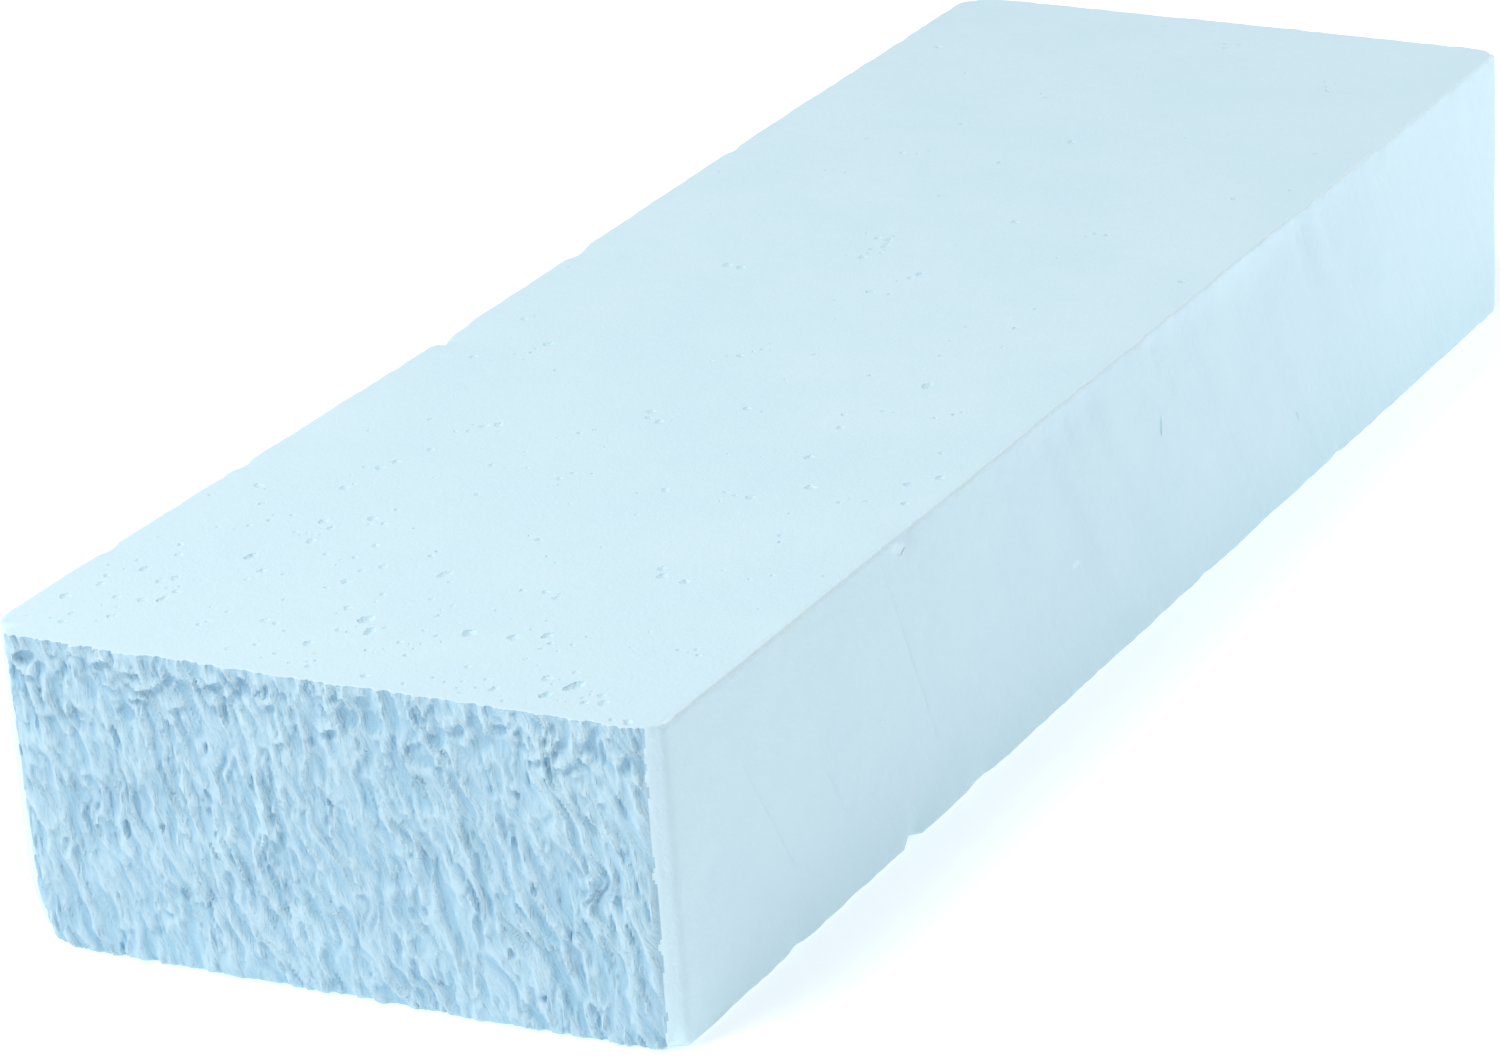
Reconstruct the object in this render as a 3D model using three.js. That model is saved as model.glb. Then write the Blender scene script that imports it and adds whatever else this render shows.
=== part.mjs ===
// A brick of rigid craft foam, for holding dry and artificial flower stems.
// Millimetres. +Z is up and the block lies on its base at z = 0. Its length runs along Y,
// from the roughly sawn end at -Y to the other end at +Y, and x = y = 0 is the middle of the base.
import * as THREE from "three";

// Driving sizes
const blockLength = 305;            // along Y, at the longest place: the sawn end's top left corner
const blockWidth = 99;              // along X
const blockHeight = 46.5;           // along Z
const longEdgeRadius = 1.2;         // rubbed round the rims of the top and the base

// The sawn end is a little out of square
const sawnEndSetback = 3.9;         // how far its right corner lies behind its left one
const sawnEndRake = 2.3;            // how far its foot lies behind its top edge

// Upright corners, each rubbed to its own radius
const sawnEndLeftRadius = 7;
const sawnEndRightRadius = 4;
const farEndLeftRadius = 6;
const farEndRightRadius = 3;

// How finely the round stretches are cut up
const cornerSegments = 8;
const rimSegments = 4;

const foamMaterial = new THREE.MeshStandardMaterial({
  color: 0xc6e3f1,
  roughness: 0.95,
  metalness: 0,
});

// Angle in plan between the X axis and the line that touches both round corners of the sawn end
function sawnEndAngle(left, right) {
  const across = right.x - left.x;
  const along = right.y - left.y;
  const lineOfCentres = Math.atan2(along, across);
  return lineOfCentres + Math.asin((left.radius - right.radius) / Math.hypot(across, along));
}

// Plan outline of the block's top, anticlockwise from the sawn end's right corner
function blockPlan() {
  const halfWidth = blockWidth / 2;
  const halfLength = blockLength / 2;
  const sawnLeft = {
    x: -halfWidth + sawnEndLeftRadius,
    y: -halfLength + sawnEndLeftRadius,
    radius: sawnEndLeftRadius,
  };
  const sawnRight = {
    x: halfWidth - sawnEndRightRadius,
    y: -halfLength + sawnEndSetback + sawnEndRightRadius,
    radius: sawnEndRightRadius,
  };
  const farRight = {
    x: halfWidth - farEndRightRadius,
    y: halfLength - farEndRightRadius,
    radius: farEndRightRadius,
  };
  const farLeft = {
    x: -halfWidth + farEndLeftRadius,
    y: halfLength - farEndLeftRadius,
    radius: farEndLeftRadius,
  };
  const right = 0;
  const back = Math.PI / 2;
  const left = Math.PI;
  const front = 3 * Math.PI / 2 + sawnEndAngle(sawnLeft, sawnRight);
  const plan = new THREE.Shape();
  const addCorner = (corner, from, to) => {
    plan.absarc(corner.x, corner.y, corner.radius, from, to, false);
  };
  addCorner(sawnRight, front - 2 * Math.PI, right);
  addCorner(farRight, right, back);
  addCorner(farLeft, back, left);
  addCorner(sawnLeft, left, front);
  plan.closePath();
  return plan;
}

// Leans the sawn end back towards its foot, the whole length of the block taking its share
function rakeSawnEnd(geometry, straightHeight) {
  const places = geometry.attributes.position;
  for (let i = 0; i < places.count; i += 1) {
    const shareOfLength = 0.5 - places.getY(i) / blockLength;
    const shareOfHeight = 1 - places.getZ(i) / straightHeight;
    places.setY(i, places.getY(i) + sawnEndRake * shareOfLength * shareOfHeight);
  }
  geometry.computeVertexNormals();
}

// One solid piece of foam: the plan pulled up to the block's height, its two rims rounded
function foamBrick() {
  const straightHeight = blockHeight - 2 * longEdgeRadius;
  const geometry = new THREE.ExtrudeGeometry(blockPlan(), {
    depth: straightHeight,
    curveSegments: cornerSegments,
    bevelEnabled: true,
    bevelThickness: longEdgeRadius,
    bevelSize: longEdgeRadius,
    bevelOffset: -longEdgeRadius,
    bevelSegments: rimSegments,
  });
  rakeSawnEnd(geometry, straightHeight);
  const brick = new THREE.Mesh(geometry, foamMaterial);
  brick.name = "foam_brick";
  brick.position.z = longEdgeRadius;
  return brick;
}

const group = new THREE.Group();
group.add(foamBrick());

export default group;
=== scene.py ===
import math

import bpy
import numpy as np
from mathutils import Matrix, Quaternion, Vector
from mathutils.bvhtree import BVHTree


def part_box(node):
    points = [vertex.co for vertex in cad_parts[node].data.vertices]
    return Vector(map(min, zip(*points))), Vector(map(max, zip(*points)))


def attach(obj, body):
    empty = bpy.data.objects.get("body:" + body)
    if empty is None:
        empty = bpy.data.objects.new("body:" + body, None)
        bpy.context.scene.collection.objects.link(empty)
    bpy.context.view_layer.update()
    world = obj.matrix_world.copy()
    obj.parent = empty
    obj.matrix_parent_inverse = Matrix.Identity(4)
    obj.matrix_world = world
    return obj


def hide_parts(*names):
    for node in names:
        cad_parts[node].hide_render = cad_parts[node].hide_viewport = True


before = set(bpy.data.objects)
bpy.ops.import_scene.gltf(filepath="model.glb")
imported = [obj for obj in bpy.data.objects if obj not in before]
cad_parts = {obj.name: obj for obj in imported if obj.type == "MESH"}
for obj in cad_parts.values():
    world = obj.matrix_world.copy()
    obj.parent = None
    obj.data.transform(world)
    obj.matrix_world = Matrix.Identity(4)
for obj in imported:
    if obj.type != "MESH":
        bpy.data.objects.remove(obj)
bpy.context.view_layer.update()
print("frame loaded")

mm = 0.001
blockLow, blockHigh = (Vector(corner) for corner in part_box("foam_brick"))
blockWide, blockLong, blockTall = (blockHigh - blockLow) / mm  # the mesh code below works in millimetres
halfWide = blockWide / 2
halfLong = blockLong / 2


def addObject(name, data):
    made = bpy.data.objects.new(name, data)
    bpy.context.scene.collection.objects.link(made)
    return made


def fillInputs(tree, node, links):
    # links: input name or number to a socket to join, or a plain value to set
    for key, value in links.items():
        if isinstance(value, bpy.types.NodeSocket):
            tree.links.new(value, node.inputs[key])
        else:
            node.inputs[key].default_value = value
    return node


# stage: camera, floor and lights
studioCamera = {
    "lens": 132.5,
    "azimuth": 28.43,  # degrees round from the torn end towards the right side
    "elevation": 22.04,
    "roll": -2.73,
    "distance": 889 * mm,
    "aim": Vector((-34.7, 34.7, -8.3)) * mm,  # from the middle of the base
    "sensorWidth": 36.0,
    "clip": (0.05, 60.0),
}

softLights = {
    # name: (x, y, z in metres, side in metres, watts, colour)
    "overheadSoftbox": (-0.28, -0.56, 0.95, 0.45, 7.25, (1.0, 0.98, 0.95)),
    "leftSoftbox": (-1.2, -0.3, 0.75, 0.4, 3.2, (1.0, 0.99, 0.97)),
    "backRightSoftbox": (0.35, 0.6, 0.2, 0.25, 1.7, (0.97, 0.985, 0.985)),
    "frontSoftbox": (-0.35, -1.15, 0.35, 0.4, 1.7, (0.96, 0.985, 1.0)),
}

stageLook = {
    "floorSide": 14.0,  # metres
    "floorDrop": 0.2 * mm,  # just under the base
    "floorColor": (0.97, 0.97, 0.97),
    "floorRoughness": 0.9,
    "floorSpecular": 0.1,
    "skyColor": (0.87, 0.955, 1.0),
    "skyStrength": 0.385,
    "floorGlow": 0.37,  # light table under the white paper
}


def addCamera(settings):
    azimuth = math.radians(settings["azimuth"])
    elevation = math.radians(settings["elevation"])
    back = Vector((math.sin(azimuth) * math.cos(elevation), -math.cos(azimuth) * math.cos(elevation),
                   math.sin(elevation)))
    data = bpy.data.cameras.new("studioCamera")
    data.lens = settings["lens"]
    data.sensor_width = settings["sensorWidth"]
    data.clip_start, data.clip_end = settings["clip"]
    camera = addObject("studioCamera", data)
    camera.location = settings["aim"] + back * settings["distance"]
    camera.rotation_mode = "QUATERNION"
    roll = Quaternion((0, 0, 1), math.radians(settings["roll"]))
    camera.rotation_quaternion = (-back).to_track_quat("-Z", "Y") @ roll
    bpy.context.scene.camera = camera


def addSoftLights(lights):
    for name, (x, y, z, side, watts, color) in lights.items():
        data = bpy.data.lights.new(name, "AREA")
        data.shape = "SQUARE"
        data.size = side
        data.energy = watts
        data.color = color
        lamp = addObject(name, data)
        lamp.location = (x, y, z)
        lamp.rotation_mode = "QUATERNION"
        lamp.rotation_quaternion = (-lamp.location).to_track_quat("-Z", "Y")


def addFloor(settings):
    half = settings["floorSide"] / 2
    low = -settings["floorDrop"]
    mesh = bpy.data.meshes.new("studioFloor")
    mesh.from_pydata([(-half, -half, low), (half, -half, low), (half, half, low), (-half, half, low)],
                     [], [(0, 1, 2, 3)])
    floor = addObject("studioFloor", mesh)
    paper = bpy.data.materials.new("whitePaperFloor")
    paper.use_nodes = True
    tree = paper.node_tree
    fillInputs(tree, tree.nodes["Principled BSDF"], {
        "Base Color": (*settings["floorColor"], 1.0), "Roughness": settings["floorRoughness"],
        "Specular IOR Level": settings["floorSpecular"], "Emission Color": (1.0, 1.0, 1.0, 1.0),
        "Emission Strength": settings["floorGlow"]})
    mesh.materials.append(paper)


def addSky(settings):
    world = bpy.data.worlds.new("studioSky")
    bpy.context.scene.world = world
    world.use_nodes = True
    tree = world.node_tree
    fillInputs(tree, tree.nodes["Background"], {"Color": (*settings["skyColor"], 1.0),
                                                "Strength": settings["skyStrength"]})


addCamera(studioCamera)
addFloor(stageLook)
addSoftLights(softLights)
addSky(stageLook)
bpy.context.scene.view_settings.view_transform = "Standard"
print("stage set")


# noise and small helpers, all on numpy arrays
def smoothStep(low, high, value):
    t = np.clip((value - low) / (high - low), 0.0, 1.0)
    return t * t * (3 - 2 * t)


def softNoise(u, v, seed, tableSide=64):
    # smooth random values from 0 to 1, one bump per unit of u and v
    table = np.random.default_rng(seed).random((tableSide, tableSide))
    lowU, lowV = np.floor(u).astype(int), np.floor(v).astype(int)
    partU, partV = u - lowU, v - lowV
    partU = partU ** 3 * (partU * (partU * 6 - 15) + 10)
    partV = partV ** 3 * (partV * (partV * 6 - 15) + 10)
    here, nextU = lowU % tableSide, (lowU + 1) % tableSide
    row, nextV = lowV % tableSide, (lowV + 1) % tableSide
    lower = table[here, row] * (1 - partU) + table[nextU, row] * partU
    upper = table[here, nextV] * (1 - partU) + table[nextU, nextV] * partU
    return lower * (1 - partV) + upper * partV


def layeredNoise(u, v, seed, layers=3):
    total, weight, size = 0.0, 0.0, 1.0
    for layer in range(layers):
        total = total + softNoise(u * size, v * size, seed + layer) / size
        weight += 1 / size
        size *= 2.03  # not quite double, so the layers don't line up
    return total / weight


# torn ends: a height field of fibres, shreds and flaps, in millimetres proud of the deepest tear
tornEnd = {
    "seed": 41,
    "gap": 0.32,  # grid step
    "lean": 16.0,  # degrees that the fibres lean off upright, foot to the right
    "leanSpread": 8.0,
    "fibres": ((2.5, 15.0, 0.42), (1.3, 9.5, 0.66), (0.8, 5.5, 0.46)),  # width, length, height
    "sway": 1.8, "swayLong": 9.5,
    "shreds": 1100, "shredLong": (2.5, 10.0), "shredWide": (0.5, 1.25), "shredHigh": (0.12, 0.5),
    "flaps": 50, "flapBand": 6.5, "flapLong": (1.8, 4.0), "flapWide": (1.8, 3.8), "flapHigh": (0.22, 0.55),
    "flapLean": (8.0, 60.0),  # from the left end of the top edge to the right
    "lowFlaps": 45,  # smaller ones anywhere on the end
    "pockets": 170, "pocketLong": (1.4, 4.5), "pocketWide": (0.5, 1.1), "pocketDeep": (0.25, 0.8),
    "bandPockets": 34,  # wider hollows in the band under the top edge
    # long gouges and deep pockets: x, z at the top, length, width, depth
    "gouges": [(29.0, 21.5, 25.0, 2.6, 0.9), (-41.5, 15.0, 17.0, 2.4, 0.7), (-15.0, 31.0, 12.0, 2.2, 0.7),
               (14.0, 25.0, 16.0, 1.8, 0.6)],
    "holes": [(-42.8, 44.6, 2.6, 3.2, 1.6), (-28.0, 38.5, 2.4, 3.0, 1.1), (8.5, 43.0, 3.4, 2.6, 1.1)],
    "overhang": 0.3,  # how far a shred's tip slumps, per millimetre it stands proud
    "shadeReach": 3,  # grid steps over which crests are told from hollows, for the painted shade in hollows and painted light on crests
    "rough": 0.42,  # how far below the highest lips the general surface lies
}

farEnd = {
    "seed": 97,
    "gap": 0.7,
    "lean": -14.0,
    "leanSpread": 7.0,
    "fibres": ((3.4, 20.0, 0.3), (1.9, 11.0, 0.26)),
    "sway": 1.5, "swayLong": 13.0,
    "shreds": 500, "shredLong": (5.0, 15.0), "shredWide": (1.3, 2.6), "shredHigh": (0.1, 0.4),
    "flaps": 14, "flapBand": 7.0, "flapLong": (2.5, 5.0), "flapWide": (2.6, 4.6), "flapHigh": (0.4, 0.8),
    "flapLean": (-40.0, -5.0),
    "lowFlaps": 14,
    "pockets": 70, "pocketLong": (2.0, 4.5), "pocketWide": (1.2, 1.8), "pocketDeep": (0.2, 0.6),
    "bandPockets": 12,
    "gouges": [(22.0, 30.0, 20.0, 2.6, 0.5), (-30.0, 40.0, 22.0, 2.6, 0.6)],
    "holes": [(38.0, 43.5, 2.8, 2.8, 0.9)],
    "overhang": 0.2,
    "shadeReach": 2,
    "rough": 0.3,
}


def pasteShape(field, gridX, gridZ, x, z, lean, reach, shape):
    # works a small shape into the field: along runs down the lean from (x, z), across is to its left
    step = gridX[1] - gridX[0]
    firstX = max(0, int((x - reach - gridX[0]) / step))
    lastX = min(len(gridX), int((x + reach - gridX[0]) / step) + 2)
    firstZ = max(0, int((z - reach - gridZ[0]) / step))
    lastZ = min(len(gridZ), int((z + reach - gridZ[0]) / step) + 2)
    if firstX >= lastX or firstZ >= lastZ:
        return
    offX = gridX[firstX:lastX, None] - x
    offZ = gridZ[None, firstZ:lastZ] - z
    along = offX * math.sin(lean) - offZ * math.cos(lean)
    across = offX * math.cos(lean) + offZ * math.sin(lean)
    patch = field[firstX:lastX, firstZ:lastZ]
    patch[:] = shape(along, across, patch)


shredForm = {
    "bellyAt": 0.55, "bellyReach": 0.6,  # where along a shred it is widest, and how far it swells
    "bluntness": 0.3,  # how much fuller a blunt one's ends are
    "climb": 1.4,  # power by which it rises from root to tip
    "droop": 0.45,  # share of its height lost at the sides
    "lipWide": 0.35, "lipFrom": (0.3, 0.8),  # millimetres, and where along it the side lips begin
    "edgeFade": (-0.22, 0.2),
    # the hollow that a blunt tip leaves just past itself
    "hollowPast": 0.7, "hollowLong": 0.6, "hollowWide": 1.1, "hollowDeep": 0.9,
}


def shredShape(long, wide, lift, lip, blunt):
    # a lens that climbs from its root to a torn tip, with a raised lip round a blunt one
    form = shredForm

    def shape(along, across, ground):
        run = np.clip(along / long, 0, 1)
        taper = ((run - form["bellyAt"]) / form["bellyReach"]) ** 2 * (1 - form["bluntness"] * blunt)
        girth = wide / 2 * np.sqrt(np.clip(1 - taper, 0.001, 1))
        fromSide = girth - np.abs(across)
        crown = lift * (run ** form["climb"] - form["droop"] * (np.abs(across) / girth) ** 2)
        sideLip = lip * np.exp(-(fromSide / form["lipWide"]) ** 2)
        crown = crown + sideLip * smoothStep(*form["lipFrom"], run)
        crown = crown + lip * np.exp(-((long - along) / form["lipWide"]) ** 2)
        inside = smoothStep(*form["edgeFade"], np.minimum(fromSide, np.minimum(along, long - along)))
        under = np.exp(-((along - long - form["hollowPast"]) / form["hollowLong"]) ** 2 -
                       (across / girth / form["hollowWide"]) ** 2)
        under = under * (1 - inside)
        return ground + np.maximum(crown, 0) * inside - blunt * lift * form["hollowDeep"] * under
    return shape


def hollowShape(long, wide, deep):
    def shape(along, across, ground):
        round2 = ((along - long / 2) / (long / 2)) ** 2 + (across / (wide / 2)) ** 2
        return ground - deep * np.clip(1 - round2, 0, 1) ** 0.7
    return shape


def fibreField(settings, sheetX, sheetZ, lean):
    # crests of three sizes, swaying a little to either side of the lean
    seed = settings["seed"]
    swayAt = (sheetX / settings["swayLong"] + 30, sheetZ / settings["swayLong"] + 30)
    sway = settings["sway"] * (layeredNoise(*swayAt, seed + 40) - 0.5) * 4
    along = sheetX * math.sin(lean) - sheetZ * math.cos(lean)
    across = sheetX * math.cos(lean) + sheetZ * math.sin(lean) + sway
    field = 0.35 * layeredNoise(sheetX / 12 + 5, sheetZ / 16 + 3, seed + 10)
    for number, (wide, long, high) in enumerate(settings["fibres"]):
        value = softNoise(across / wide + 60, along / long + 60, seed + 50 + number)
        split = softNoise(across / wide / 1.7 + 60, along / long / 1.4 + 60, seed + 60 + number)
        field = field + high * (1 - np.abs(2 * value - 1)) ** 1.4 * (0.45 + 0.9 * split)
    return field


tearShapes = {
    "startAbove": 8.0,  # shreds may hang down from this far above the top
    "shredLip": 0.1, "flapLip": 0.55,  # shares of their height
    "lowFlapSize": 0.55,  # share of the size of a flap in the band
    "bandFrom": 0.8, "bandTo": 4.5,  # millimetres below the top edge
    "bandLong": (2.0, 4.5), "bandWide": (1.4, 3.4), "bandDeep": (0.3, 0.8), "bandReach": 6.0,
    "gougeLean": 1.15,  # times the lean of the fibres
    "holeLean": 0.1,  # radians
}


def tornField(settings, gridX, gridZ):
    rng = np.random.default_rng(settings["seed"])
    lean = math.radians(settings["lean"])
    spread = math.radians(settings["leanSpread"])
    wide, tall = gridX[-1] - gridX[0], gridZ[-1] - gridZ[0]

    sheetX, sheetZ = np.meshgrid(gridX, gridZ, indexing="ij")
    field = fibreField(settings, sheetX, sheetZ, lean)

    def somewhere():
        return gridX[0] + rng.random() * wide, rng.random() * (tall + tearShapes["startAbove"])

    def draw(source, *names):
        return [rng.uniform(*source[name]) for name in names]

    def paste(*placed):
        pasteShape(field, gridX, gridZ, *placed)

    for _ in range(settings["shreds"]):
        x, z = somewhere()
        long, thick, high = draw(settings, "shredLong", "shredWide", "shredHigh")
        swing = lean + rng.normal() * spread
        paste(x, z, swing, long * 1.1, shredShape(long, thick, high, tearShapes["shredLip"] * high, 0.0))
    flapFirst, flapLast = settings["flapLean"]
    for number in range(settings["flaps"] + settings["lowFlaps"]):
        x, z = somewhere()
        shrink, swing = tearShapes["lowFlapSize"], lean
        if number < settings["flaps"]:
            z = tall + 0.5 - rng.random() ** 1.5 * settings["flapBand"]
            shrink = 1.0
            swing = math.radians(flapFirst + (flapLast - flapFirst) * (x - gridX[0]) / wide)
        long, thick, high = (size * shrink for size in draw(settings, "flapLong", "flapWide", "flapHigh"))
        swing += rng.normal() * spread * 2
        paste(x, z, swing, long * 1.2 + 2.0,
              shredShape(long, thick, high, tearShapes["flapLip"] * high, 1.0))
    for _ in range(settings["pockets"]):
        x, z = somewhere()
        size = draw(settings, "pocketLong", "pocketWide", "pocketDeep")
        paste(x, z, lean + rng.normal() * spread, size[0] * 1.2, hollowShape(*size))
    for _ in range(settings["bandPockets"]):
        x = gridX[0] + rng.random() * wide
        z = tall - rng.uniform(tearShapes["bandFrom"], tearShapes["bandTo"])
        size = draw(tearShapes, "bandLong", "bandWide", "bandDeep")
        paste(x, z, lean, tearShapes["bandReach"], hollowShape(*size))
    for x, z, *size in settings["gouges"]:
        paste(x, z, lean * tearShapes["gougeLean"], size[0] * 1.1, hollowShape(*size))
    for x, z, *size in settings["holes"]:
        paste(x, z, tearShapes["holeLean"], size[0] * 1.3, hollowShape(*size))
    return field


# the block: rings of points round it from end to end, capped by two fine grids
hullMarks = {
    "topGap": 3.6, "sideGap": 2.6,  # between points across the top and up the sides
    "rowGap": 1.6,  # between rings of points
    # rings close behind the torn end, on every grid point and then on every second one
    "tornRowsFine": (0.3, 0.65, 1.05, 1.5, 2.05), "tornRowsHalf": (2.7, 3.5, 4.4, 5.4, 6.5),
    "farRows": (0.5, 1.05, 1.65, 2.35, 3.2, 4.2, 5.3, 6.5),
    "rimMarks": (0.0, 0.25, 0.5, 1.1),  # where points sit across a rounded long edge
}


def evenMarks(length, gap, evenCount=False):
    count = max(2, round(length / gap))
    if evenCount:
        count += count % 2
    return np.linspace(-length / 2, length / 2, count + 1)


def edgedMarks(length, gap, rimMarks):
    rim = rimMarks[-1]
    middle = evenMarks(length - 2 * rim, gap)
    start = np.array(rimMarks[:-1]) - length / 2
    return np.concatenate([start, middle, -start[::-1]])


def ringPoints(marksX, marksZ, y):
    # round the block anticlockwise seen from the torn end, from the bottom left corner
    return [
        [(x, y, 0.0) for x in marksX[:-1]],
        [(halfWide, y, z) for z in marksZ[:-1]],
        [(x, y, blockTall) for x in marksX[:0:-1]],
        [(-halfWide, y, z) for z in marksZ[:0:-1]],
    ]


def zipRows(near, far, nearAt, farAt, faces):
    # joins two rows of points that may differ in number, from corner to corner
    i = j = 0
    while i < len(near) - 1 or j < len(far) - 1:
        canNear, canFar = i < len(near) - 1, j < len(far) - 1
        if canNear and canFar and abs(nearAt[i + 1] - farAt[j + 1]) < 1e-6:
            faces.append((near[i], far[j], far[j + 1], near[i + 1]))
            i += 1
            j += 1
        elif canNear and (not canFar or nearAt[i + 1] < farAt[j + 1]):
            faces.append((near[i], far[j], near[i + 1]))
            i += 1
        else:
            faces.append((near[i], far[j], far[j + 1]))
            j += 1


def gridBorder(index):
    # the four sides of a grid of point numbers, each from corner to corner, in ring order
    return [list(index[:, 0]), list(index[-1, :]), list(index[::-1, -1]), list(index[0, ::-1])]


def buildHull(marks):
    points, faces, regions = [], [], []
    tornX, tornZ = evenMarks(blockWide, tornEnd["gap"], True), evenMarks(blockTall, tornEnd["gap"], True)
    farX, farZ = evenMarks(blockWide, farEnd["gap"]), evenMarks(blockTall, farEnd["gap"])
    tornZ, farZ = tornZ + blockTall / 2, farZ + blockTall / 2
    coarseX = edgedMarks(blockWide, marks["topGap"], marks["rimMarks"])
    coarseZ = edgedMarks(blockTall, marks["sideGap"], marks["rimMarks"]) + blockTall / 2

    def addGrid(gridX, gridZ, y, region):
        first = len(points)
        points.extend((x, y, z) for x in gridX for z in gridZ)
        index = first + np.arange(len(gridX) * len(gridZ)).reshape(len(gridX), len(gridZ))
        corners = [index[:-1, :-1], index[1:, :-1], index[1:, 1:], index[:-1, 1:]]
        if y > 0:
            corners.reverse()
        quads = np.stack([c.ravel() for c in corners], axis=1)
        faces.extend(map(tuple, quads.tolist()))
        regions.extend([region] * len(quads))
        return index

    tornIndex = addGrid(tornX, tornZ, -halfLong, "tornEnd")
    farIndex = addGrid(farX, farZ, halfLong, "farEnd")

    rows = [(-halfLong + d, tornX, tornZ) for d in marks["tornRowsFine"]]
    rows += [(-halfLong + d, tornX[::2], tornZ[::2]) for d in marks["tornRowsHalf"]]
    start = -halfLong + marks["tornRowsHalf"][-1] + marks["rowGap"]
    stop = halfLong - marks["farRows"][-1] - marks["rowGap"] * 0.7
    count = round((stop - start) / marks["rowGap"])
    rows += [(y, coarseX, coarseZ) for y in np.linspace(start, stop, count + 1)]
    rows += [(halfLong - d, farX, farZ) for d in reversed(marks["farRows"])]

    def inRingOrder(marksX, marksZ):
        return [marksX, marksZ, -marksX[::-1], -marksZ[::-1]]

    before, beforeAt = gridBorder(tornIndex), inRingOrder(tornX, tornZ)
    for y, marksX, marksZ in rows + [(halfLong, farX, farZ)]:
        if y < halfLong:
            sides = ringPoints(marksX, marksZ, y)
            numbers = []
            for side in sides:
                numbers.append(list(range(len(points), len(points) + len(side))))
                points.extend(side)
            now = [side + [numbers[(k + 1) % 4][0]] for k, side in enumerate(numbers)]
        else:
            now = gridBorder(farIndex)
        nowAt = inRingOrder(marksX, marksZ)
        for k, region in enumerate(("base", "rightSide", "top", "leftSide")):
            had = len(faces)
            zipRows(before[k], now[k], beforeAt[k], nowAt[k], faces)
            regions.extend([region] * (len(faces) - had))
        before, beforeAt = now, nowAt
    grids = {"tornEnd": (tornX, tornZ), "farEnd": (farX, farZ)}
    return np.array(points), faces, np.array(regions), grids


points, faces, regions, grids = buildHull(hullMarks)
print("hull:", len(points), "points,", len(faces), "faces")


# rounding: upright corners first, then the rims of the top and the base
rounding = {
    "cornerRadius": {(-1, -1): 7.0, (1, -1): 4.0, (-1, 1): 6.0, (1, 1): 3.0},  # by sign of x and y
    "topRim": 0.5, "baseRim": 1.1,
    "tornRim": 0.25, "tornFoot": 1.1, "farRim": 0.5,  # the end edges stay sharp
}


def roundBlock(sharp, settings):
    out = sharp.copy()
    fromSide = halfWide - np.abs(sharp[:, 0])
    fromEnd = halfLong - np.abs(sharp[:, 1])
    inward = np.zeros((len(sharp), 2))  # in plan, which way each point's nearest face looks in
    onSide = fromSide <= fromEnd
    inward[onSide, 0] = -np.sign(sharp[onSide, 0])
    inward[~onSide, 1] = -np.sign(sharp[~onSide, 1])
    for (signX, signY), radius in settings["cornerRadius"].items():
        reachX = sharp[:, 0] * signX - (halfWide - radius)
        reachY = sharp[:, 1] * signY - (halfLong - radius)
        inCorner = (reachX > 0) & (reachY > 0)
        reach = np.stack([reachX, reachY], axis=1)[inCorner]
        length = np.linalg.norm(reach, axis=1)
        squeeze = reach.max(axis=1) / length
        out[inCorner, 0] = signX * (halfWide - radius + reach[:, 0] * squeeze)
        out[inCorner, 1] = signY * (halfLong - radius + reach[:, 1] * squeeze)
        inward[inCorner] = -reach / length[:, None] * (signX, signY)

    endShare = smoothStep(-2.0, 2.0, fromSide - fromEnd)
    tornRim = np.where(sharp[:, 2] > blockTall / 2, settings["tornRim"], settings["tornFoot"])
    endRim = np.where(sharp[:, 1] < 0, tornRim, settings["farRim"])
    depthIn = np.minimum(fromSide, fromEnd)
    for level, sign, sideRim in ((blockTall, 1, settings["topRim"]), (0.0, -1, settings["baseRim"])):
        rim = sideRim * (1 - endShare) + endRim * endShare
        depthDown = np.abs(level - sharp[:, 2])
        nearRim = (depthIn < rim) & (depthDown < rim)
        reachIn, reachDown = (rim - depthIn)[nearRim], (rim - depthDown)[nearRim]
        squeeze = rim[nearRim] / np.hypot(reachIn, reachDown)
        out[nearRim, :2] += inward[nearRim] * (reachIn * (1 - squeeze))[:, None]
        out[nearRim, 2] -= sign * reachDown * (1 - squeeze)
    return out


rounded = roundBlock(points, rounding)


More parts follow.
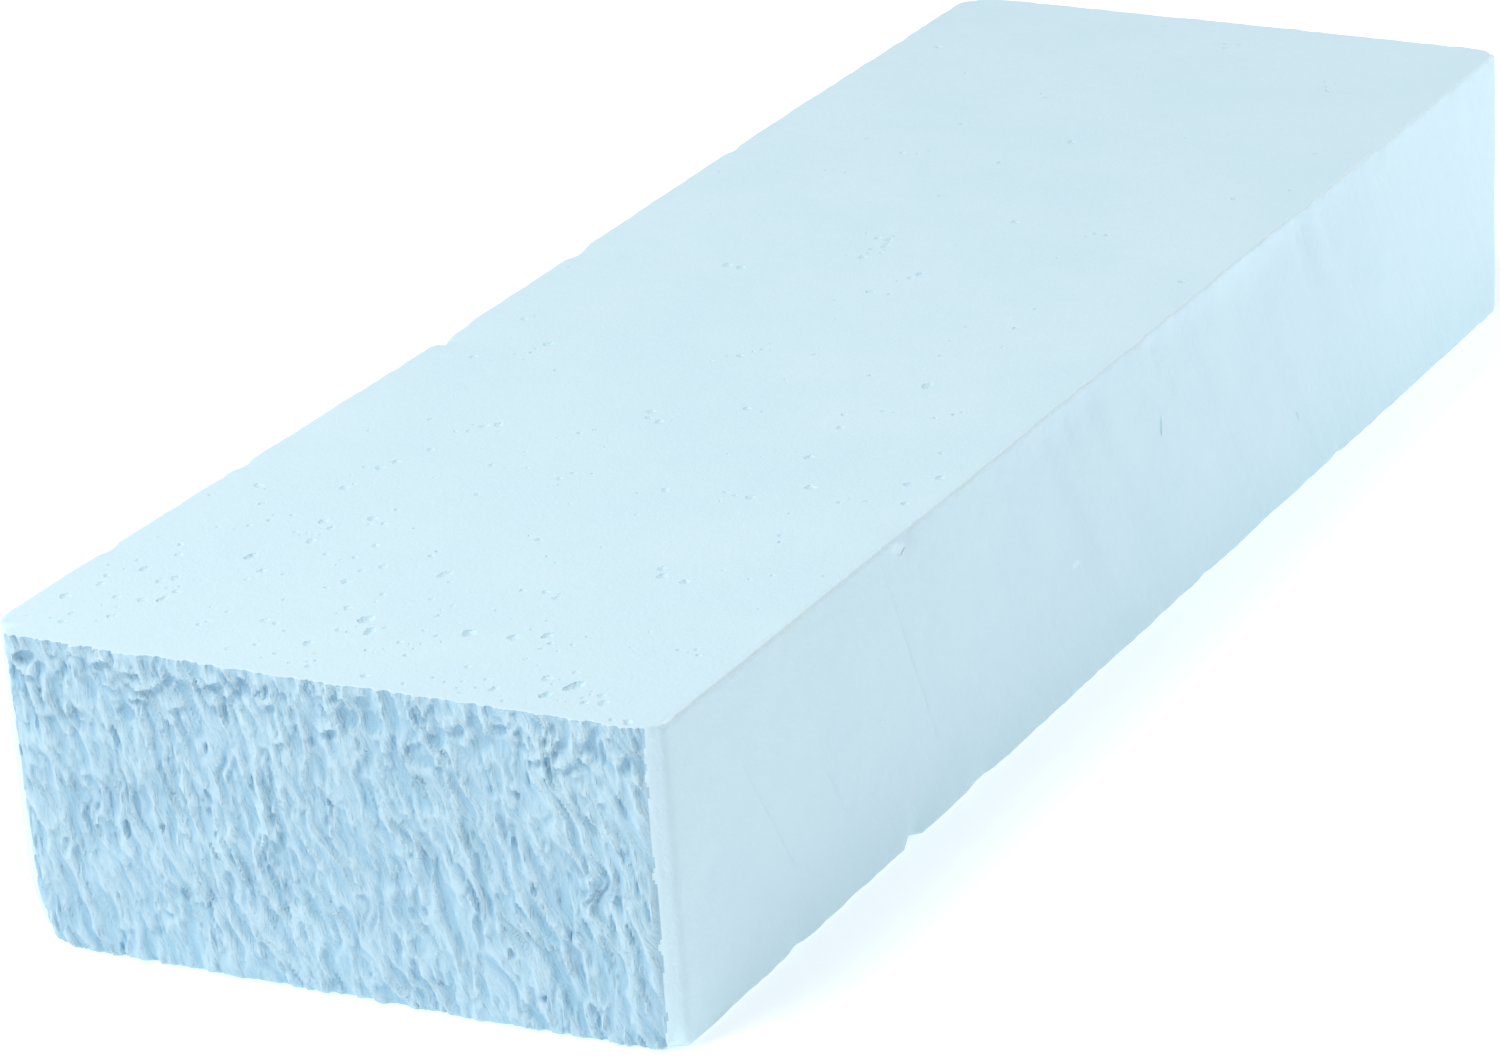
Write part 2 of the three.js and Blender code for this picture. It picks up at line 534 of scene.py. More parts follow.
# relief: torn ends, slanted wire ripples, gentle hollows and knocked edges
surfaceRelief = {
    "seed": 7,
    "endFade": 5.0,  # how far back the top and sides give way to the torn edge
    "smoothBand": {-1: 2.7, 1: 2.0},  # the tear stops this short of the upright corners
    "bandFade": (-0.3, 0.7),  # from the edge of that strip, calm to torn
    "slumpFade": 1.2,  # the outermost tips slump less
    "rippleLean": 34.0,  # degrees off upright
    "rippleFan": 0.15,  # how much further they lean towards the far end
    "rippleSway": 5.0,
    "rippleLong": 13.0, "rippleDeep": 1.4, "rippleFoot": 30.0, "rippleEdgeShare": 0.4,
    "rippleFrom": -20.0, "rippleTo": 72.0,  # along the block
    "fadeBefore": 45.0, "fadeAfter": 25.0,
    "footFade": 10.0,  # how far past their foot they are gone
    "topFade": 4.0,  # how far below the top edge they are deepest
    "rippleElsewhere": 0.18,  # share of their depth outside that stretch
    "rippleBelow": 0.15,  # and below their foot
    "rippleLeft": 0.35,  # and all along the left side
    "hollowLong": 45.0, "hollowDeep": 0.22,
    "edgeWear": 0.22, "edgeReach": 2.6, "edgeWearLong": 3.1,
    "edgeShare": 0.7,  # of the wear, taken off each of the two faces that meet
    "endSlant": 0.0443,  # how far the torn end falls back, per millimetre to the right
    "endRake": 2.3,  # how far its foot lies behind its top edge
    "leftBow": 1.1, "leftBowAt": -20.0, "leftBowLong": 75.0,  # the left side is planed a little hollow
    "heightShadeShare": 0.45, "crestShadeShare": 1.5,  # shares of height and of local crest in the painted shade mask: hollows painted darker, crests painted lighter
}

edgeKnocks = [
    # side (x sign), level (1 top, 0 base), y, half length, depth, all in millimetres
    (-1, 1, -34.0, 1.6, 0.9), (-1, 1, -30.0, 4.5, 0.35), (-1, 1, 8.0, 2.5, 0.4), (-1, 1, 61.0, 2.0, 0.3),
    (-1, 1, -88.0, 2.2, 0.35), (-1, 1, -121.0, 1.8, 0.3),
    (1, 0, -82.0, 1.8, 1.3), (1, 0, -60.0, 3.0, 0.4), (1, 0, -118.0, 2.0, 0.45), (1, 0, 22.0, 2.6, 0.25),
    (1, 0, 77.0, 2.0, 0.4), (1, 1, -80.0, 2.6, 0.5), (1, 1, 44.0, 3.0, 0.35), (1, 1, 96.0, 2.2, 0.4),
    (1, 1, 128.0, 2.4, 0.35), (-1, 0, -20.0, 2.4, 0.6), (-1, 0, 90.0, 2.0, 0.5),
]

cornerKnocks = [
    # x sign, y sign, level (1 top, 0 base), reach, depth
    (-1, -1, 0, 5.0, 2.4), (-1, -1, 1, 3.0, 0.5), (1, -1, 0, 2.6, 0.8),
    (-1, 1, 0, 3.0, 0.9), (1, 1, 1, 2.2, 0.5),
]
knockShares = (0.6, 0.5, 0.7)  # of a corner knock's depth, taken along x, y and z


def blurField(field, reach):
    # running mean over 2 * reach + 1 grid points each way
    for axis in (0, 1):
        padded = np.pad(field, [(reach + 1, reach) if k == axis else (0, 0) for k in (0, 1)], mode="edge")
        total = np.cumsum(padded, axis=axis)
        width = 2 * reach + 1
        count = field.shape[axis]
        field = (np.take(total, np.arange(width, width + count), axis) -
                 np.take(total, np.arange(count), axis)) / width
    return field


def sampleField(field, gridX, gridZ, x, z):
    placeX = np.clip((x - gridX[0]) / (gridX[1] - gridX[0]), 0, len(gridX) - 1.001)
    placeZ = np.clip((z - gridZ[0]) / (gridZ[1] - gridZ[0]), 0, len(gridZ) - 1.001)
    lowX, lowZ = placeX.astype(int), placeZ.astype(int)
    partX, partZ = placeX - lowX, placeZ - lowZ
    left = field[lowX, lowZ] * (1 - partZ) + field[lowX, lowZ + 1] * partZ
    right = field[lowX + 1, lowZ] * (1 - partZ) + field[lowX + 1, lowZ + 1] * partZ
    return left * (1 - partX) + right * partX


def endRelief(name, settings, sharp, relief):
    gridX, gridZ = grids[name]
    field = tornField(settings, gridX, gridZ)
    # the highest lips and deepest hollows are squeezed towards the general level
    general = np.median(field)
    most = settings["rough"] * 2
    level = general + most
    field = general + most * np.tanh((field - general) / (settings["rough"] * 2.2))
    sheetX, sheetZ = np.meshgrid(gridX, gridZ, indexing="ij")
    band = np.where(sheetX > 0, relief["smoothBand"][1], relief["smoothBand"][-1])
    calm = smoothStep(*relief["bandFade"], halfWide - np.abs(sheetX) - band)
    field = field * calm + general * (1 - calm)
    height = sampleField(field, gridX, gridZ, sharp[:, 0], sharp[:, 2])
    fromEnd = halfLong + sharp[:, 1] if name == "tornEnd" else halfLong - sharp[:, 1]
    weight = smoothStep(relief["endFade"], 0.0, fromEnd)
    depth = (level - height) * weight
    border = np.minimum(halfWide - np.abs(sharp[:, 0]), np.minimum(sharp[:, 2], blockTall - sharp[:, 2]))
    slump = (height - general) * settings["overhang"] * smoothStep(0.0, relief["slumpFade"], border)
    slump = np.where(fromEnd < 1e-6, slump, 0.0)
    proud = field - blurField(blurField(field, settings["shadeReach"]), settings["shadeReach"])
    proud = sampleField(proud, gridX, gridZ, sharp[:, 0], sharp[:, 2])  # crest above its surroundings
    # the third value is the painted shade mask: low in hollows, painted darker, and high on crests, painted
    # lighter
    return depth, slump, relief["heightShadeShare"] * (height - general) + relief["crestShadeShare"] * proud


def reliefBlock(sharp, rounded, relief):
    out = rounded.copy()
    x, y, z = sharp.T
    fromSide, fromTop = halfWide - np.abs(x), blockTall - z
    seed = relief["seed"]

    # wire ripples run down the long sides and die out towards the base
    lean = math.radians(relief["rippleLean"])
    fan = (z - blockTall) * math.tan(lean) * (1 + relief["rippleFan"] * smoothStep(-60, 90, y))
    bent = y + fan + relief["rippleSway"] * (softNoise(y / 31, z / 40 + 3, seed + 1) - 0.5)
    wave = softNoise(bent / relief["rippleLong"] * 1.6, z / 60 + 11, seed + 2)
    wave = np.where(x > 0, wave, softNoise(bent / relief["rippleLong"] * 1.2, z / 60 + 31, seed + 3))
    along = smoothStep(relief["rippleFrom"] - relief["fadeBefore"], relief["rippleFrom"], y)
    along = along * smoothStep(relief["rippleTo"] + relief["fadeAfter"], relief["rippleTo"], y)
    elsewhere, below = relief["rippleElsewhere"], relief["rippleBelow"]
    along = np.where(x > 0, elsewhere + (1 - elsewhere) * along, relief["rippleLeft"])
    foot = smoothStep(relief["rippleFoot"] + relief["footFade"], relief["topFade"], fromTop)
    ridged = 1 - np.abs(2 * wave - 1)
    edgeShare = relief["rippleEdgeShare"]
    atEdge = edgeShare + (1 - edgeShare) * smoothStep(0.0, relief["topFade"], fromTop)
    sideDepth = relief["rippleDeep"] * ridged * along * (below + (1 - below) * foot) * atEdge
    sideDepth = sideDepth + relief["hollowDeep"] * softNoise(y / relief["hollowLong"], z / 30, seed + 4) * 0.6
    out[:, 0] -= np.sign(x) * sideDepth * smoothStep(5.0, 0.0, fromSide)

    # the top is planed nearly flat
    hollowAt = (x / relief["hollowLong"], y / relief["hollowLong"])
    out[:, 2] -= relief["hollowDeep"] * layeredNoise(*hollowAt, seed + 5) * smoothStep(6.0, 0.0, fromTop)

    # worn and knocked long edges
    for sign in (-1, 1):
        for level in (0, 1):
            fromLevel = fromTop if level else z
            toEdge = np.hypot(halfWide - sign * x, fromLevel)
            near = np.exp(-(toEdge / relief["edgeReach"]) ** 2)
            row = np.full_like(y, 10 * sign + level + 0.5)
            wear = np.abs(layeredNoise(y / relief["edgeWearLong"], row, seed + 6, 4) - 0.5)
            wear = relief["edgeWear"] * wear * 3
            for *edge, middle, half, deep in edgeKnocks:
                if edge == [sign, level]:
                    wear = wear + deep * np.exp(-np.abs((y - middle) / half) ** 3)
            out[:, 0] -= sign * wear * near * relief["edgeShare"]
            out[:, 2] -= (1 if level else -1) * wear * near * relief["edgeShare"]

    for signX, signY, level, reach, deep in cornerKnocks:
        fromCorner = np.stack([halfWide - signX * x, halfLong - signY * y, fromTop if level else z])
        wear = deep * np.exp(-(np.linalg.norm(fromCorner, axis=0) / reach) ** 2)
        for axis, sign in enumerate((signX, signY, 1 if level else -1)):
            out[:, axis] -= sign * wear * knockShares[axis]

    # collects the painted shade mask on the points of the two ends
    tear = np.zeros(len(sharp))
    for name, settings, sign in (("tornEnd", tornEnd, 1), ("farEnd", farEnd, -1)):
        depth, slump, share = endRelief(name, settings, sharp, relief)
        out[:, 1] += sign * depth
        out[:, 2] -= slump
        out[:, 0] += slump * math.tan(math.radians(settings["lean"])) * 0.8
        atEnd = sign * sharp[:, 1] < -halfLong + 1e-6
        tear[atEnd] = share[atEnd]

    # the torn end is a little out of square, the whole length taking its share
    toFarEnd = 0.5 - out[:, 1] / blockLong
    setback = relief["endSlant"] * (out[:, 0] + halfWide - rounding["cornerRadius"][-1, -1])
    out[:, 1] += (setback + relief["endRake"] * (1 - out[:, 2] / blockTall)) * toFarEnd
    bow = relief["leftBow"] * np.exp(-((y - relief["leftBowAt"]) / relief["leftBowLong"]) ** 2)
    out[:, 0] += bow * smoothStep(halfWide * 0.4, 0.0, halfWide + x)
    return out, tear


shaped, tearShadeMask = reliefBlock(points, rounded, surfaceRelief)
shaped = np.clip(shaped, (-halfWide, -halfLong, 0), (halfWide, halfLong, blockTall))
creaseAngle = 48.0  # degrees; sharper folds than this are shaded as edges


def makeMesh(name, places, faces, materials, slots):
    mesh = bpy.data.meshes.new(name)
    mesh.from_pydata((places * mm).tolist(), [], faces)
    mesh.update()
    for material in materials:
        mesh.materials.append(material)
    mesh.polygons.foreach_set("material_index", slots)
    mesh.polygons.foreach_set("use_smooth", np.ones(len(faces), dtype=bool))
    mesh.set_sharp_from_angle(angle=math.radians(creaseAngle))
    return addObject(name, mesh)


# shading: shared effects as node groups
def newGroup(name, inputs, output, kind):
    # inputs: name to kind and default
    tree = bpy.data.node_groups.new(name, "ShaderNodeTree")
    for label, (inputKind, default) in inputs.items():
        socket = tree.interface.new_socket(label, in_out="INPUT", socket_type="NodeSocket" + inputKind)
        if default is not None:
            socket.default_value = default
    tree.interface.new_socket(output, in_out="OUTPUT", socket_type="NodeSocket" + kind)
    given = tree.nodes.new("NodeGroupInput").outputs
    return tree, given, tree.nodes.new("NodeGroupOutput").inputs[output]


def addNode(tree, kind, links=None, **settings):
    node = tree.nodes.new("ShaderNode" + kind)
    for name, value in settings.items():
        setattr(node, name, value)
    return fillInputs(tree, node, links or {})


def addGroup(tree, group, links):
    node = tree.nodes.new("ShaderNodeGroup")
    node.node_tree = group
    return fillInputs(tree, node, links)


def perMetre(tree, size):
    # the scale of a texture whose features are that many millimetres across
    return addNode(tree, "Math", {0: 1000.0, 1: size}, operation="DIVIDE").outputs[0]


def cellGrainGroup():
    # open and crushed cells, finer than the mesh can hold
    tree, given, out = newGroup("cellGrain", {
        "Place": ("Vector", None), "Cell Size": ("Float", 0.5), "Evenness": ("Float", 0.5)},
        "Height", "Float")
    scale = perMetre(tree, given["Cell Size"])
    cells = addNode(tree, "TexVoronoi", {"Vector": given["Place"], "Scale": scale,
                                         "Randomness": 1.0}, feature="F1")
    blur = addNode(tree, "TexNoise", {"Vector": given["Place"], "Scale": scale, "Detail": 3.0,
                                      "Roughness": 0.6})
    blend = addNode(tree, "Mix", {0: given["Evenness"], 2: cells.outputs["Distance"],
                                  3: blur.outputs["Fac"]})
    tree.links.new(blend.outputs[0], out)
    return tree


def cloudyTintGroup():
    # faint patches where the foam is denser, a few millimetres to a few centimetres wide
    tree, given, out = newGroup("cloudyTint", {
        "Place": ("Vector", None), "Patch Size": ("Float", 20.0),
        "Pale": ("Color", (1, 1, 1, 1)), "Deep": ("Color", (0, 0, 0, 1))}, "Color", "Color")
    scale = perMetre(tree, given["Patch Size"])
    patches = addNode(tree, "TexNoise", {"Vector": given["Place"], "Scale": scale, "Detail": 5.0,
                                         "Roughness": 0.62})
    spread = addNode(tree, "MapRange", {"Value": patches.outputs["Fac"], "From Min": 0.3, "From Max": 0.7})
    blend = addNode(tree, "Mix", {0: spread.outputs[0], 6: given["Pale"], 7: given["Deep"]},
                    data_type="RGBA")
    tree.links.new(blend.outputs[2], out)
    return tree


def slantedLinesGroup():
    # long thin lines on an upright face, leaning off upright by the given angle
    tree, given, out = newGroup("slantedLines", {
        "Place": ("Vector", None), "Lean": ("Vector", (0, 0, 0)), "Line Width": ("Float", 0.4),
        "Line Length": ("Float", 20.0), "Sway": ("Float", 1.0)}, "Lines", "Float")
    turned = addNode(tree, "VectorRotate", {"Vector": given["Place"],
                                            "Rotation": given["Lean"]}, rotation_type="EULER_XYZ")
    swayPerMetre, swayMost = 95.0, 0.006  # how often the lines swing, and how far at a Sway of 1
    swayNoise = addNode(tree, "TexNoise", {"Vector": turned.outputs[0], "Scale": swayPerMetre,
                                           "Detail": 2.0})
    swayMiddle = addNode(tree, "VectorMath", {0: swayNoise.outputs["Color"], 1: (0.5, 0.5, 0.5)},
                         operation="SUBTRACT")
    swayReach = addNode(tree, "Math", {0: given["Sway"], 1: swayMost}, operation="MULTIPLY")
    swayed = addNode(tree, "VectorMath", {0: swayMiddle.outputs[0], "Scale": swayReach.outputs[0]},
                     operation="SCALE")
    bent = addNode(tree, "VectorMath", {0: turned.outputs[0], 1: swayed.outputs[0]}, operation="ADD")
    acrossScale = perMetre(tree, given["Line Width"])
    alongScale = perMetre(tree, given["Line Length"])
    stretch = addNode(tree, "CombineXYZ", {0: acrossScale, 1: acrossScale, 2: alongScale})
    stretched = addNode(tree, "VectorMath", {0: bent.outputs[0], 1: stretch.outputs[0]}, operation="MULTIPLY")
    lines = addNode(tree, "TexNoise", {"Vector": stretched.outputs[0], "Scale": 1.0, "Detail": 2.0,
                                       "Roughness": 0.55})
    tree.links.new(lines.outputs["Fac"], out)
    return tree


cellGrain = cellGrainGroup()
cloudyTint = cloudyTintGroup()
slantedLines = slantedLinesGroup()

cutFoamLook = {
    "pale": (0.665, 0.84, 0.925, 1), "deep": (0.635, 0.82, 0.912, 1), "patchSize": 26.0,
    "cellSize": 0.55, "cellRise": 0.09,  # millimetres
    "dimpleSize": 3.2, "dimpleRise": 0.14,
    "lineLean": -33.0, "lineWidth": 1.7, "lineLong": 26.0, "lineRise": 0.13, "lineSway": 0.25,
    "grainEvenness": 0.55,
    "roughness": 0.86, "specular": 0.22, "sheen": 0.06,
}

# pits and nicks: coarser open cells, and a darker, bluer colour as painted shade in the hollows
openCellShadeLook = dict(cutFoamLook, pale=(0.65, 0.832, 0.92, 1), deep=(0.595, 0.795, 0.90, 1), patchSize=3.0,
                    cellRise=0.2)

scuffedLook = dict(cutFoamLook, pale=(0.655, 0.835, 0.92, 1), deep=(0.64, 0.822, 0.912, 1))

# paler colour along the long top edges and in the chips: partly crushed cells, partly a painted highlight on
# the rounded rim and in the chips
crushedHighlightLook = dict(cutFoamLook, pale=(0.725, 0.89, 0.96, 1), deep=(0.69, 0.865, 0.945, 1), patchSize=4.0)
crushedHighlightReach = 0.5  # millimetres in from the edge
crushedHighlightEnds = 2.0  # and stopping this short of the two ends

# torn ends: the whole colour is painted shade, darker than the cut faces for the self-shadowing of the rough
# tear; the pocket colour is painted shade in the hollows and the lip colour painted light on the crests
tornFoamShadeLook = {
    "lip": (0.508, 0.692, 0.797, 1), "pocketShade": (0.3, 0.512, 0.667, 1),
    "lipAt": 0.55, "pocketAt": -0.65,  # crest above its surroundings, millimetres
    "patchSize": 9.0, "patchTint": 0.25,
    "lineLean": 16.0, "lineWidth": 0.42, "lineLong": 4.5, "lineRise": 0.32, "lineSway": 1.0,  # fibres
    "cellSize": 0.45, "cellRise": 0.12, "grainEvenness": 0.7,
    "roughness": 0.78, "specular": 0.28, "sheen": 0.05,
}


def startMaterial(name, look):
    material = bpy.data.materials.new(name)
    material.use_nodes = True
    tree = material.node_tree
    surface = fillInputs(tree, tree.nodes["Principled BSDF"], {
        "Roughness": look["roughness"], "Specular IOR Level": look["specular"],
        "Sheen Weight": look["sheen"]})
    place = addNode(tree, "TexCoord").outputs["Object"]
    return material, tree, surface, place


def addGrain(tree, place, look):
    return addGroup(tree, cellGrain, {"Place": place, "Cell Size": look["cellSize"],
                                      "Evenness": look["grainEvenness"]}).outputs["Height"]


def addLines(tree, place, look, axis):
    lean = Vector()
    lean[axis] = math.radians(look["lineLean"])
    return addGroup(tree, slantedLines, {"Place": place, "Lean": lean, "Line Width": look["lineWidth"],
                                         "Line Length": look["lineLong"],
                                         "Sway": look["lineSway"]}).outputs["Lines"]


def addTint(tree, place, look, pale, deep):
    return addGroup(tree, cloudyTint, {"Place": place, "Patch Size": look["patchSize"],
                                       "Pale": look[pale], "Deep": look[deep]}).outputs["Color"]


def addRelief(tree, height, rise, under=None):
    links = {"Height": height, "Distance": rise * mm, "Strength": 1.0}
    if under:
        links["Normal"] = under
    return addNode(tree, "Bump", links).outputs["Normal"]


def makeCutFoam(name, look):
    material, tree, surface, place = startMaterial(name, look)
    tree.links.new(addTint(tree, place, look, "pale", "deep"), surface.inputs["Base Color"])
    lines = addLines(tree, place, look, 0)
    facing = addNode(tree, "NewGeometry").outputs["Normal"]
    parts = addNode(tree, "SeparateXYZ", {0: facing})
    upright = addNode(tree, "Math", {0: parts.outputs["X"]}, operation="ABSOLUTE")  # 1 on the long sides
    onSides = addNode(tree, "Math", {0: lines, 1: upright.outputs[0]}, operation="MULTIPLY")
    wireMarks = addRelief(tree, onSides.outputs[0], look["lineRise"])
    grain = addGrain(tree, place, look)
    dimples = addNode(tree, "TexNoise", {"Vector": place, "Scale": 1000.0 / look["dimpleSize"],
                                         "Detail": 2.0, "Roughness": 0.5})
    dimpled = addRelief(tree, dimples.outputs["Fac"], look["dimpleRise"], wireMarks)
    tree.links.new(addRelief(tree, grain, look["cellRise"], dimpled), surface.inputs["Normal"])
    return material


# the torn face's colour runs from painted shade in the hollows to painted light on the crests, by the painted
# shade mask of the torn ends
def makeShadedTornFoam(look):
    material, tree, surface, place = startMaterial("tornFoamPaintedShade", look)
    # the mask read here paints shade into the hollows and light onto the crests
    tear = addNode(tree, "Attribute", attribute_name="tearShadeMask").outputs["Fac"]
    height = addNode(tree, "MapRange", {"Value": tear, "From Min": look["pocketAt"],
                                        "From Max": look["lipAt"]}, interpolation_type="SMOOTHSTEP")
    shadeByHeight = addNode(tree, "Mix", {0: height.outputs[0], 6: look["pocketShade"], 7: look["lip"]},
                       data_type="RGBA")
    tint = addTint(tree, place, look, "lip", "pocketShade")
    color = addNode(tree, "Mix", {0: look["patchTint"], 6: shadeByHeight.outputs[2], 7: tint}, data_type="RGBA")
    tree.links.new(color.outputs[2], surface.inputs["Base Color"])
    fibreMarks = addRelief(tree, addLines(tree, place, look, 1), look["lineRise"])
    grain = addGrain(tree, place, look)
    tree.links.new(addRelief(tree, grain, look["cellRise"], fibreMarks), surface.inputs["Normal"])
    return material


# material slots; faces cut into a hollow are those from pitSlot on
cutSlot, tornSlot, crushedHighlightSlot, pitSlot, scuffSlot, chipHighlightSlot = range(6)
# the crushed rims and chips are painted paler, partly crushed cells and partly a painted highlight
crushedFoamHighlight = makeCutFoam("crushedFoamHighlight", crushedHighlightLook)
foamMaterials = [makeCutFoam("cutFoam", cutFoamLook), makeShadedTornFoam(tornFoamShadeLook), crushedFoamHighlight,
                 makeCutFoam("openCellsPaintedShade", openCellShadeLook), makeCutFoam("scuffedFoam", scuffedLook), crushedFoamHighlight]
slots = np.where(np.isin(regions, ("tornEnd", "farEnd")), tornSlot, cutSlot).astype(np.int32)
firstCorner = points[[face[0] for face in faces]]
band = np.where(firstCorner[:, 0] > 0, surfaceRelief["smoothBand"][1], surfaceRelief["smoothBand"][-1])
band = band + 0.7 * (softNoise(firstCorner[:, 2] / 1.7, firstCorner[:, 0] / 40 + 9, 77) - 0.5)
slots[halfWide - np.abs(firstCorner[:, 0]) < band] = cutSlot
faceMiddle = np.array([points[list(face)].mean(axis=0) for face in faces])
fromEdge = np.hypot(halfWide - np.abs(faceMiddle[:, 0]), blockTall - faceMiddle[:, 2])
# the painted highlight along the long top rims
slots[(fromEdge < crushedHighlightReach) & (np.abs(faceMiddle[:, 1]) < halfLong - crushedHighlightEnds)] = crushedHighlightSlot
block = makeMesh("foamBlock", shaped, faces, foamMaterials, slots)
# the painted shade mask goes on the block's points, for the torn foam's colour
tearShadeAttribute = block.data.attributes.new("tearShadeMask", "FLOAT", "POINT")
tearShadeAttribute.data.foreach_set("value", tearShadeMask.astype(np.float32))


# pits in the top, and scratches, nicks and chips in the right side, cut out as real hollows
topPits = {
    "seed": 5,
    "count": 330,
    "company": 0.4,  # chance that one sits close beside another
    "companyReach": (1.2, 3.0),
    "crowd": 52.0,  # how fast the pits thin out away from the torn end
    "far": 0.22,  # share of them scattered over the whole top
    "halfLong": (0.3, 1.0), "halfWide": (0.3, 0.8), "deep": (0.09, 0.24),
    "swing": 18.0,  # degrees either side of the block's length
    "apart": 0.3,  # foam left between two of them
    "edgeMargin": 3.0, "endMargin": 6.0,  # the saw end leans in, so pits keep further from the ends
    "sections": 6,  # rings of points along a pit
    "smallSections": 5, "smallBelow": 0.7,  # fewer where its half length is no more than this
    # the largest: x, y, half length, half width, depth, degrees off the block's length
    "largest": [
        (-3, -130, 1.5, 1.0, 0.4, 8), (-0.5, -133.3, 1.3, 0.9, 0.4, -6), (33, -139, 1.9, 0.95, 0.5, 14),
        (31, -142.7, 1.2, 0.8, 0.4, 20), (-1, -113, 1.5, 0.9, 0.3, 12), (12, -129, 1.3, 0.9, 0.35, 0),
        (22, -126, 1.2, 0.7, 0.32, 10), (-32, -134, 1.2, 0.7, 0.3, 4), (-40, -126, 1.1, 0.7, 0.3, 12),
        (-29, -117, 1.4, 0.65, 0.28, 16), (28.3, -26.1, 1.3, 0.8, 0.25, 10),
        (-4.4, 26.7, 1.3, 0.7, 0.2, 0),
    ],
}

sideMarks = [
    # start and end (y, z), half width, depth, slot
    ((-126.0, 33.4), (-112.0, 11.5), 0.34, 0.11, scuffSlot),  # long fine marks
    ((-84.5, 45.0), (-69.0, 12.0), 0.32, 0.09, scuffSlot),
    ((-52.0, 38.0), (-43.0, 21.0), 0.25, 0.04, scuffSlot),
    ((-104.0, 24.0), (-97.0, 13.0), 0.25, 0.07, scuffSlot),
    ((8.5, 32.3), (8.8, 28.9), 0.35, 0.3, pitSlot),  # upright nick
    ((-81.0, 44.9), (-76.4, 44.2), 1.1, 0.06, chipHighlightSlot),  # crushed chips, painted paler as a painted highlight
    ((-23.0, 20.4), (-20.2, 20.0), 0.8, 0.05, chipHighlightSlot),
    ((61.0, 14.0), (62.4, 12.2), 0.3, 0.1, pitSlot),
]

grooveForm = {
    # points round a section: share of the half width across, share of the depth in
    "ring": ((1.0, -0.1), (0.45, -1.0), (-0.45, -1.0), (-1.0, -0.1)),
    "clear": 0.8,  # how far the cutter stands out of the face
    "thinnest": 0.16,  # share of the full width at the two tips
    "unevenness": (0.75, 1.2),
    "wander": 0.25,  # sideways, as a share of the half width
    "seekFrom": 5.0,  # how far outside the face it is looked for
    "sideSection": 2.5,  # millimetres between sections on the long side marks
}


def addGroove(vertices, polygons, surface, start, end, across, outward, breadth, deep, steps, rng):
    # a lens-shaped cutter between two points on the surface, breadth to either side and deep into it
    form = grooveForm
    first = len(vertices)
    for step in range(steps):
        t = step / (steps - 1)
        swell = max(form["thinnest"], math.sqrt(1 - (2 * t - 1) ** 2)) * rng.uniform(*form["unevenness"])
        middle = start.lerp(end, t) + across * (breadth * form["wander"] * rng.uniform(-1, 1))
        hit = surface.ray_cast(middle + outward * form["seekFrom"], -outward)[0]
        base = hit if hit is not None else middle
        wide = breadth * swell
        vertices.append(base + across * wide + outward * form["clear"])
        for share, down in form["ring"]:
            vertices.append(base + across * (wide * share) + outward * (deep * down * min(1, swell)))
        vertices.append(base - across * wide + outward * form["clear"])
    size = len(form["ring"]) + 2
    for step in range(steps - 1):
        here, ahead = first + step * size, first + (step + 1) * size
        for k in range(size):
            following = (k + 1) % size
            polygons.append((here + k, here + following, ahead + following, ahead + k))
    polygons.append(tuple(first + k for k in reversed(range(size))))
    polygons.append(tuple(first + (steps - 1) * size + k for k in range(size)))


def placePits(settings, rng):
    placed = list(settings["largest"])
    endMargin = settings["endMargin"]
    while len(placed) < settings["count"]:
        x = rng.uniform(-1, 1) * (halfWide - settings["edgeMargin"])
        y = rng.exponential(settings["crowd"]) - halfLong + endMargin
        if rng.random() < settings["far"]:
            y = rng.uniform(-1, 1) * (halfLong - endMargin)
        if rng.random() < settings["company"]:
            beside = placed[rng.integers(len(placed))]
            away, bearing = rng.uniform(*settings["companyReach"]), rng.uniform(0, 2 * math.pi)
            x, y = beside[0] + away * math.sin(bearing), beside[1] + away * math.cos(bearing)
        if abs(x) > halfWide - settings["edgeMargin"] or abs(y) > halfLong - endMargin:
            continue
        small = rng.random() ** 2
        sizes = [low + (high - low) * small for low, high in
                 (settings["halfLong"], settings["halfWide"], settings["deep"])]
        clear = min(math.hypot(x - other[0], y - other[1]) - other[2] for other in placed)
        if clear < sizes[0] + settings["apart"]:
            continue
        placed.append((x, y, *sizes, rng.normal() * settings["swing"]))
    return placed


def readAll(items, name, kind=np.int32):
    values = np.empty(len(items), dtype=kind)
    items.foreach_get(name, values)
    return values


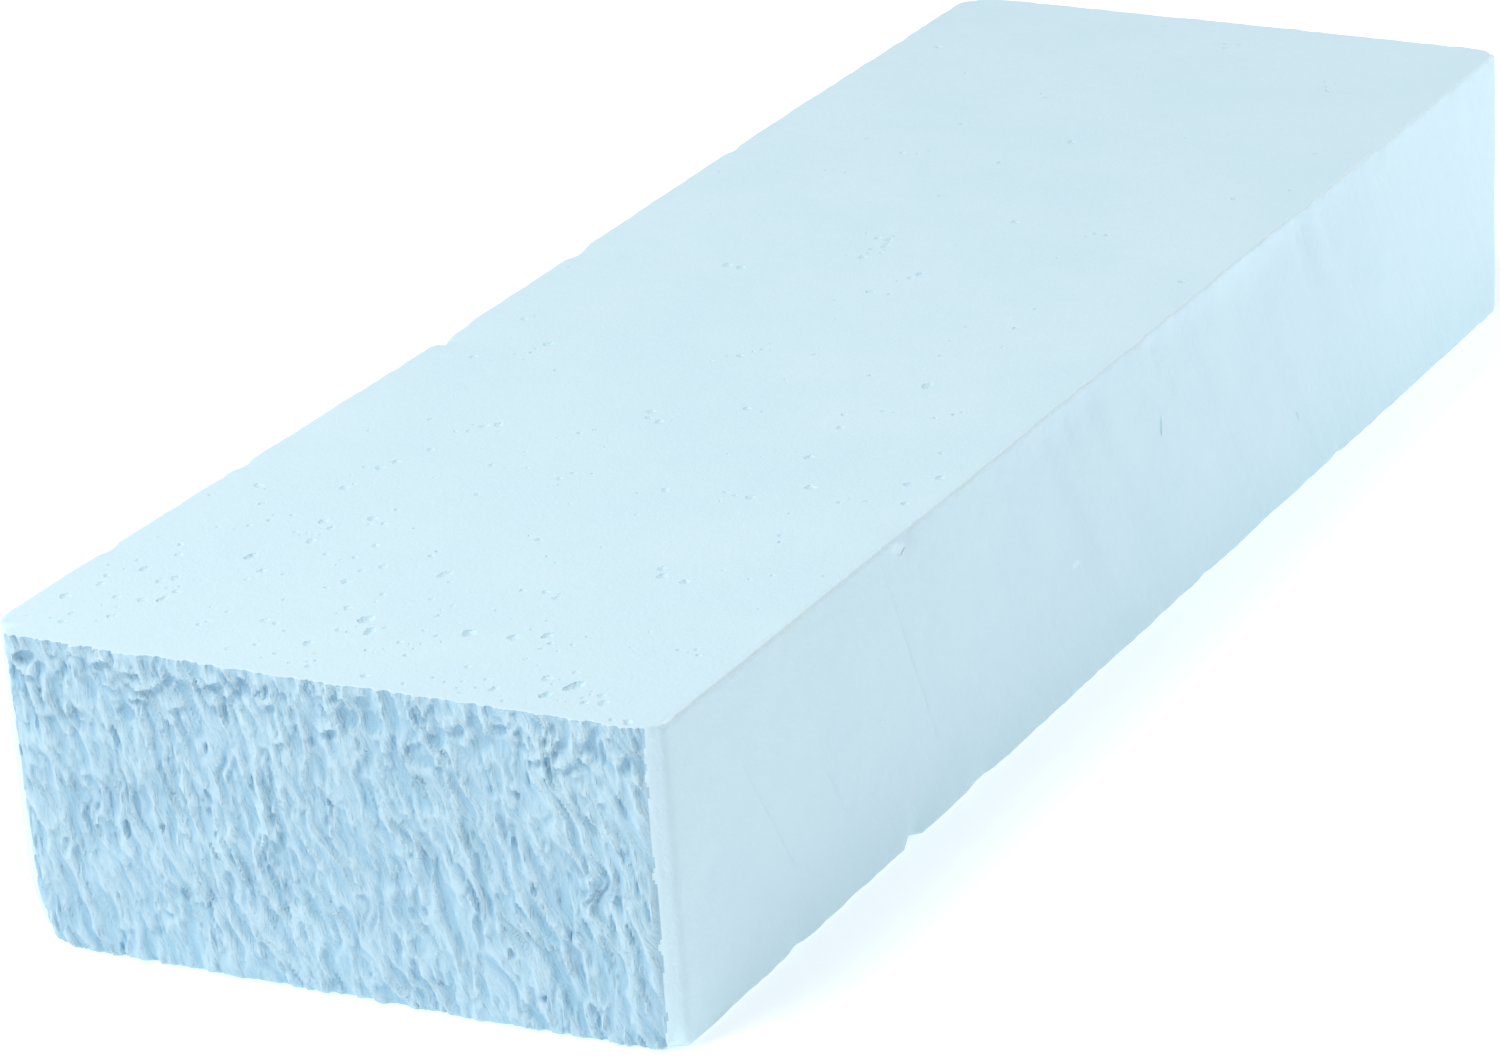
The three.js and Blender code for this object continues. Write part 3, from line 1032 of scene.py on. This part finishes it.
def sharpenRims(mesh):
    # the edge between a hollow and the face it is cut into stays crisp
    slotOf = readAll(mesh.polygons, "material_index")
    cornersOf = readAll(mesh.polygons, "loop_total")
    edgeOf = readAll(mesh.loops, "edge_index")
    sharp = readAll(mesh.edges, "use_edge_sharp", bool)
    inHollow = np.repeat(slotOf >= pitSlot, cornersOf)
    hollowSides = np.bincount(edgeOf[inHollow], minlength=len(sharp))
    mesh.edges.foreach_set("use_edge_sharp", sharp | (hollowSides == 1))


def cutMarks(target, places, faces):
    rng = np.random.default_rng(topPits["seed"])
    surface = BVHTree.FromPolygons([tuple(place) for place in places], faces)
    vertices, polygons = [], []
    up, right = Vector((0, 0, 1)), Vector((1, 0, 0))
    for x, y, long, wide, deep, turn in placePits(topPits, rng):
        lean = math.radians(turn)
        along = Vector((math.sin(lean), math.cos(lean), 0))
        middle = Vector((x, y, blockTall))
        steps = topPits["smallSections"] if long <= topPits["smallBelow"] else topPits["sections"]
        addGroove(vertices, polygons, surface, middle - along * long, middle + along * long,
                  along.cross(up), up, wide, deep, steps, rng)
    slots = [pitSlot] * len(polygons)
    for *ends, wide, deep, slot in sideMarks:
        start, end = (Vector((halfWide, *place)) for place in ends)
        steps = topPits["sections"] + int((end - start).length / grooveForm["sideSection"])
        addGroove(vertices, polygons, surface, start, end, (end - start).normalized().cross(right), right,
                  wide, deep, steps, rng)
        slots += [slot] * (len(polygons) - len(slots))
    cutter = makeMesh("markCutter", np.array([tuple(v) for v in vertices]), polygons, foamMaterials, slots)
    cut = target.modifiers.new("markCut", "BOOLEAN")
    cut.object = cutter
    cut.operation = "DIFFERENCE"
    cut.solver = "MANIFOLD"
    bpy.context.view_layer.update()
    finished = target.evaluated_get(bpy.context.evaluated_depsgraph_get())
    mesh = bpy.data.meshes.new_from_object(finished)
    target.modifiers.remove(cut)
    target.data = mesh
    mesh.name = "foamBlock"
    sharpenRims(mesh)
    bpy.data.objects.remove(cutter)


cutMarks(block, shaped, faces)
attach(block, "root")
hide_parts("foam_brick")
block.data.calc_loop_triangles()
print("block built:", len(block.data.loop_triangles), "triangles")
